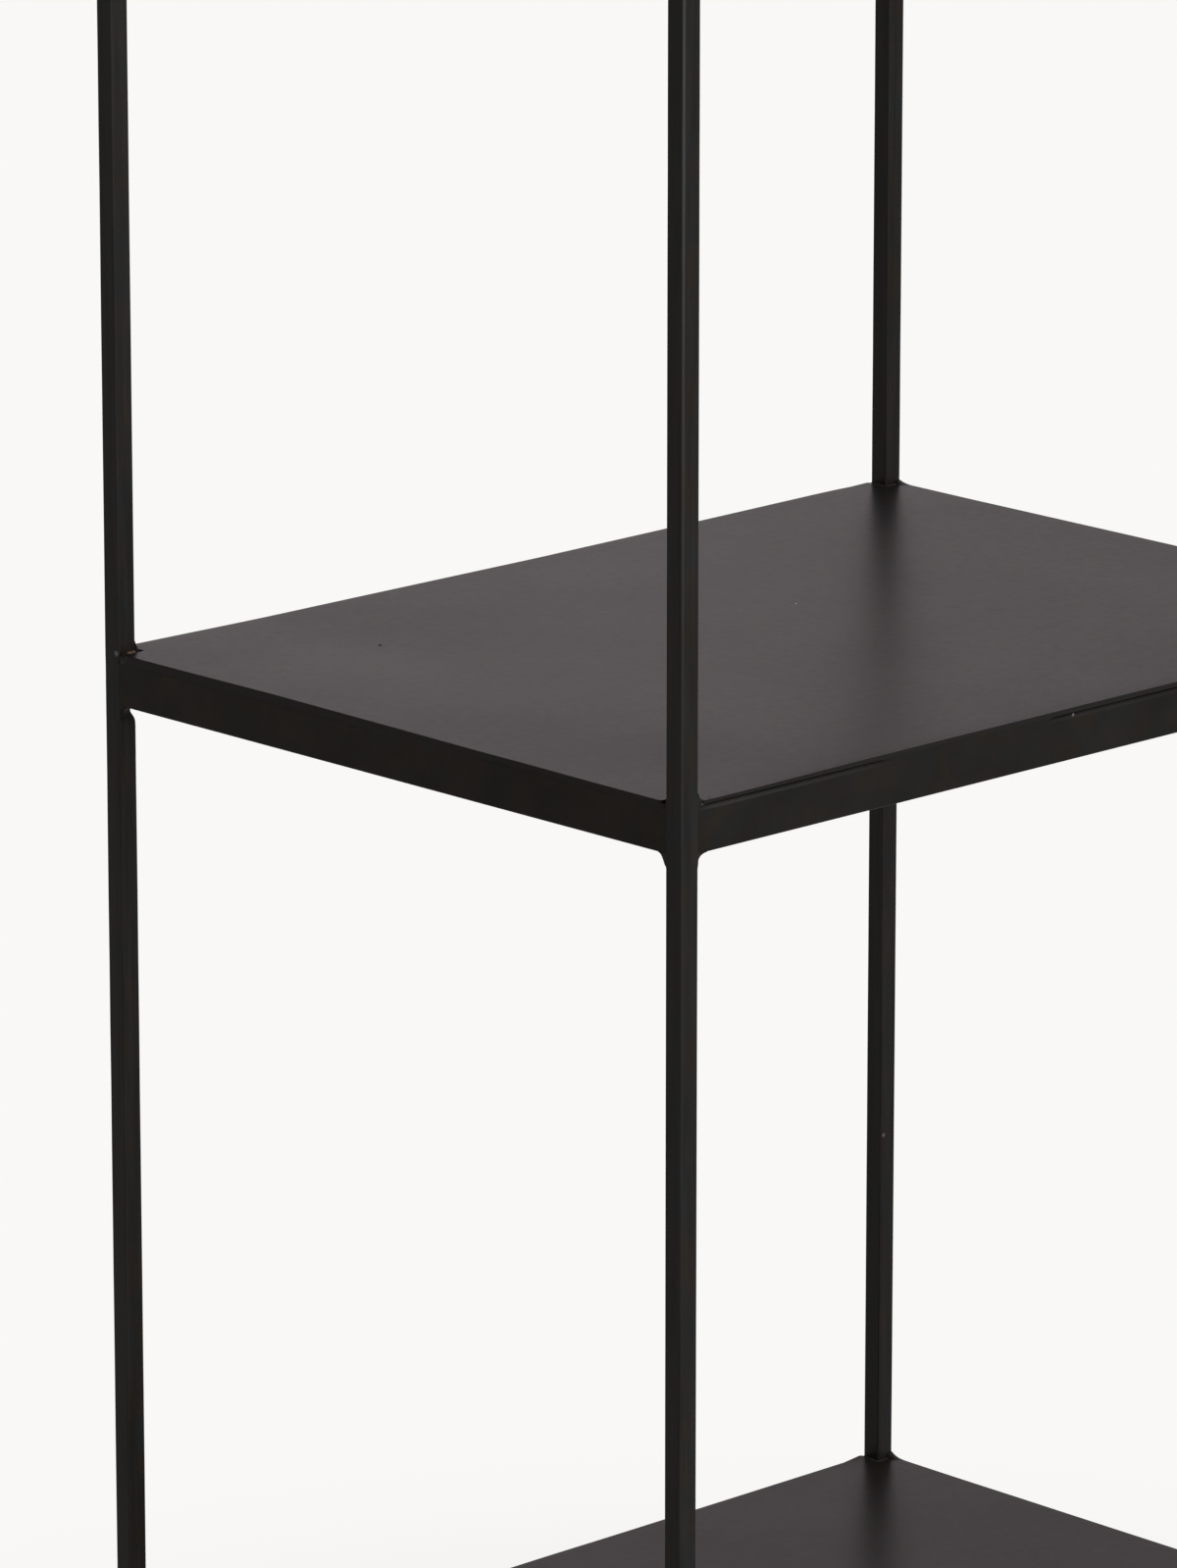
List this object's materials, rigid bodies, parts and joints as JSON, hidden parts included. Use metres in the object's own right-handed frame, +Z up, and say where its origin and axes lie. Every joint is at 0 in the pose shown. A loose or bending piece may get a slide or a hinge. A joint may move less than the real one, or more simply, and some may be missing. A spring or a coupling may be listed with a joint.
{
  "type": "open metal shelf",
  "caption": "Tall open black metal etagere: slim square corner posts carry welded angle frames, each under a thin notched steel sheet.",
  "frame": {"origin": "on the floor, at the middle of the footprint", "axes": "+Z up, X along the long side, +Y from the front to the back along the short side"},
  "size_m": [0.505, 0.375, 1.6],
  "materials": {
    "bar_coat": "thin satin black coat over drawn square steel bar",
    "rail_coat": "thin satin black coat over rolled steel angle",
    "sheet_coat": "satin black coat over steel sheet, faintly mottled",
    "weld_coat": "satin black coat over dressed weld",
    "glide_nylon": "moulded black nylon"
  },
  "bodies": {
    "root": {"post_front_left": "bar_coat", "foot_glide_front_left": "glide_nylon", "post_front_right": "bar_coat", "foot_glide_front_right": "glide_nylon", "post_back_left": "bar_coat", "foot_glide_back_left": "glide_nylon", "post_back_right": "bar_coat", "foot_glide_back_right": "glide_nylon", "shelf_sheet_1": "sheet_coat", "rail_front_1": "rail_coat", "rail_right_1": "rail_coat", "rail_back_1": "rail_coat", "rail_left_1": "rail_coat", "corner_welds_1": "weld_coat", "shelf_sheet_2": "sheet_coat", "rail_front_2": "rail_coat", "rail_right_2": "rail_coat", "rail_back_2": "rail_coat", "rail_left_2": "rail_coat", "corner_welds_2": "weld_coat", "shelf_sheet_3": "sheet_coat", "rail_front_3": "rail_coat", "rail_right_3": "rail_coat", "rail_back_3": "rail_coat", "rail_left_3": "rail_coat", "corner_welds_3": "weld_coat", "shelf_sheet_4": "sheet_coat", "rail_front_4": "rail_coat", "rail_right_4": "rail_coat", "rail_back_4": "rail_coat", "rail_left_4": "rail_coat", "corner_welds_4": "weld_coat"}
  },
  "joints": []
}
